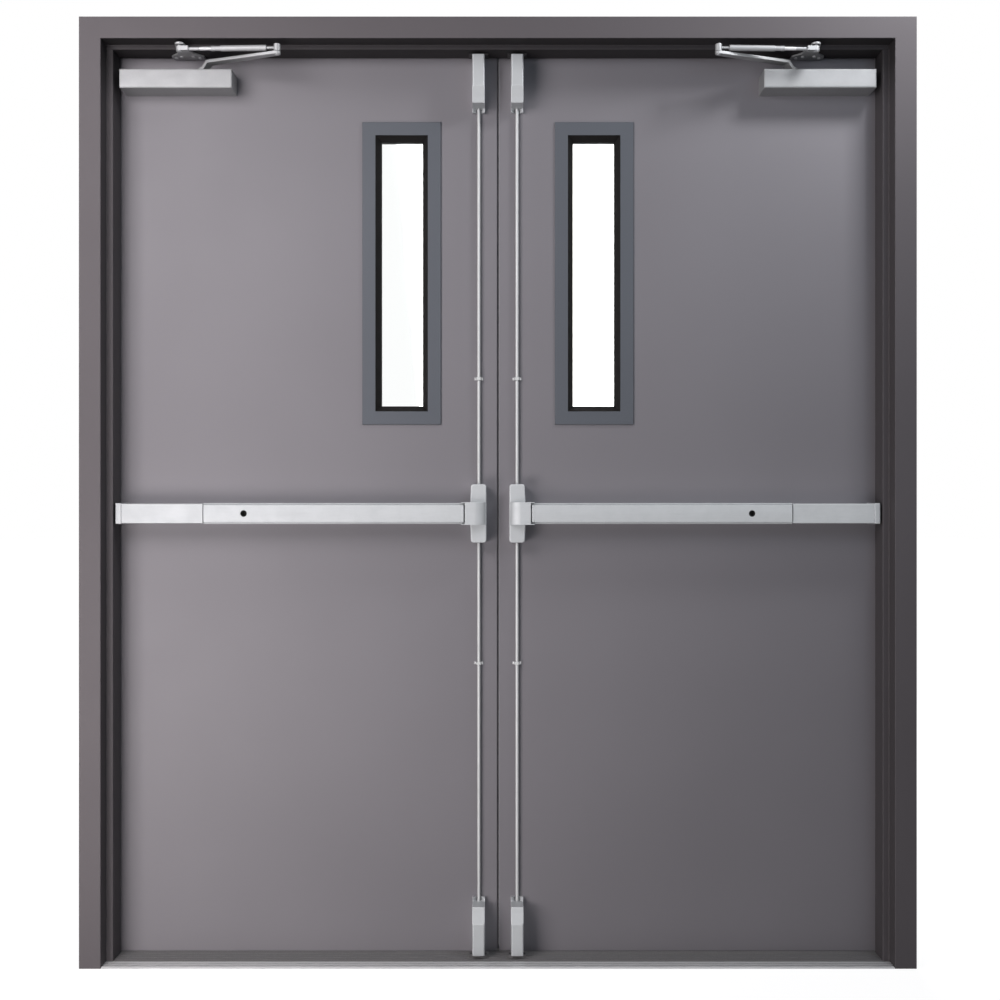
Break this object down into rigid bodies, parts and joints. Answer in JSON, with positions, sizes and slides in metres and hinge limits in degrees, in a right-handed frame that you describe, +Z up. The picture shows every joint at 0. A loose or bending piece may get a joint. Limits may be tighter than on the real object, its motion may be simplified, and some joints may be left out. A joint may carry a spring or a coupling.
{
  "type": "hollow metal double door",
  "caption": "Hollow metal double door in a pressed steel frame, with narrow vision lites, surface closers, touch-bar exit devices and surface vertical rods.",
  "frame": {"origin": "on the floor, midway between the jambs and midway through the depth of the frame", "axes": "+X to the right seen from the push side, +Y through the doorway in the opening direction, +Z up"},
  "size_m": [1.9304, 0.1744, 2.1933],
  "materials": {
    "frame_paint": "satin",
    "anchor_steel": "matte",
    "threshold_aluminium": "satin",
    "hinge_steel": "satin",
    "strike_steel": "satin",
    "closer_silver": "satin",
    "leaf_paint": "satin",
    "lite_paint": "satin",
    "lite_pane": "clear",
    "bar_aluminium": "satin",
    "cap_silver": "satin",
    "rod_steel": "satin"
  },
  "bodies": {
    "frame": {"jamb_left": "frame_paint", "jamb_right": "frame_paint", "frame_head": "frame_paint", "frame_anchors": "anchor_steel", "threshold": "threshold_aluminium", "hinge_frame_halves": "hinge_steel", "top_strikes": "strike_steel", "bottom_strikes": "strike_steel", "closer_brackets": "closer_silver"},
    "left_leaf": {"left_door_leaf": "leaf_paint", "left_hinge_halves": "hinge_steel", "left_lite_frame_push": "lite_paint", "left_lite_frame_pull": "lite_paint", "left_lite_glass": "lite_pane", "left_closer_body": "closer_silver", "left_bar_rail": "bar_aluminium", "left_bar_end_cap": "cap_silver", "left_center_case": "cap_silver", "left_center_cover": "cap_silver", "left_rod_guides": "rod_steel", "left_top_latch_case": "cap_silver", "left_bottom_latch_case": "cap_silver"},
    "left_pad": {"left_push_pad": "bar_aluminium"},
    "left_top_bolt": {"left_top_rod": "rod_steel"},
    "left_bottom_bolt": {"left_bottom_rod": "rod_steel"},
    "left_main_arm": {"left_closer_main_arm": "closer_silver"},
    "left_forearm": {"left_closer_forearm": "closer_silver"},
    "right_leaf": {"right_door_leaf": "leaf_paint", "right_hinge_halves": "hinge_steel", "right_lite_frame_push": "lite_paint", "right_lite_frame_pull": "lite_paint", "right_lite_glass": "lite_pane", "right_closer_body": "closer_silver", "right_bar_rail": "bar_aluminium", "right_bar_end_cap": "cap_silver", "right_center_case": "cap_silver", "right_center_cover": "cap_silver", "right_rod_guides": "rod_steel", "right_top_latch_case": "cap_silver", "right_bottom_latch_case": "cap_silver"},
    "right_pad": {"right_push_pad": "bar_aluminium"},
    "right_top_bolt": {"right_top_rod": "rod_steel"},
    "right_bottom_bolt": {"right_bottom_rod": "rod_steel"},
    "right_main_arm": {"right_closer_main_arm": "closer_silver"},
    "right_forearm": {"right_closer_forearm": "closer_silver"}
  },
  "joints": [
    {"name": "left_leaf_swing", "type": "hinge", "parent": "frame", "child": "left_leaf", "pos_m": [-0.9119, 0.08013, 1.08335], "axis": [0, 0, 1], "range_deg": [0, 95], "stiffness_Nm_per_rad": 8, "springref_deg": -34.38},
    {"name": "left_pad_push", "type": "slide", "parent": "left_leaf", "child": "left_pad", "axis": [0, 1, 0], "range_m": [0, 0.012], "stiffness_N_per_m": 2000, "springref_m": -0.01},
    {"name": "left_top_bolt_draw", "type": "slide", "parent": "left_leaf", "child": "left_top_bolt", "axis": [0, 0, -1], "range_m": [0, 0.01]},
    {"name": "left_bottom_bolt_draw", "type": "slide", "parent": "left_leaf", "child": "left_bottom_bolt", "axis": [0, 0, 1], "range_m": [0, 0.01]},
    {"name": "left_main_arm_turn", "type": "hinge", "parent": "left_leaf", "child": "left_main_arm", "pos_m": [-0.696, -0.01103, 2.1028], "axis": [0, 0, -1], "range_deg": [0, 123.42]},
    {"name": "left_forearm_turn", "type": "hinge", "parent": "frame", "child": "left_forearm", "pos_m": [-0.733, -0.072, 2.1182], "axis": [0, 0, 1], "range_deg": [0, 85.3]},
    {"name": "right_leaf_swing", "type": "hinge", "parent": "frame", "child": "right_leaf", "pos_m": [0.9119, 0.08013, 1.08335], "axis": [0, 0, -1], "range_deg": [0, 95], "stiffness_Nm_per_rad": 8, "springref_deg": -34.38},
    {"name": "right_pad_push", "type": "slide", "parent": "right_leaf", "child": "right_pad", "axis": [0, 1, 0], "range_m": [0, 0.012], "stiffness_N_per_m": 2000, "springref_m": -0.01},
    {"name": "right_top_bolt_draw", "type": "slide", "parent": "right_leaf", "child": "right_top_bolt", "axis": [0, 0, -1], "range_m": [0, 0.01]},
    {"name": "right_bottom_bolt_draw", "type": "slide", "parent": "right_leaf", "child": "right_bottom_bolt", "axis": [0, 0, 1], "range_m": [0, 0.01]},
    {"name": "right_main_arm_turn", "type": "hinge", "parent": "right_leaf", "child": "right_main_arm", "pos_m": [0.696, -0.01103, 2.1028], "axis": [0, 0, 1], "range_deg": [0, 123.42]},
    {"name": "right_forearm_turn", "type": "hinge", "parent": "frame", "child": "right_forearm", "pos_m": [0.733, -0.072, 2.1182], "axis": [0, 0, -1], "range_deg": [0, 85.3]}
  ],
  "couplings": [
    {"joint": "left_top_bolt_draw", "follows": "left_pad_push", "ratio": 0.8333},
    {"joint": "left_bottom_bolt_draw", "follows": "left_pad_push", "ratio": 0.8333},
    {"joint": "left_main_arm_turn", "follows": "left_leaf_swing", "ratio": 1.299},
    {"joint": "left_forearm_turn", "follows": "left_leaf_swing", "ratio": 0.8978},
    {"joint": "right_top_bolt_draw", "follows": "right_pad_push", "ratio": 0.8333},
    {"joint": "right_bottom_bolt_draw", "follows": "right_pad_push", "ratio": 0.8333},
    {"joint": "right_main_arm_turn", "follows": "right_leaf_swing", "ratio": 1.299},
    {"joint": "right_forearm_turn", "follows": "right_leaf_swing", "ratio": 0.8978}
  ]
}
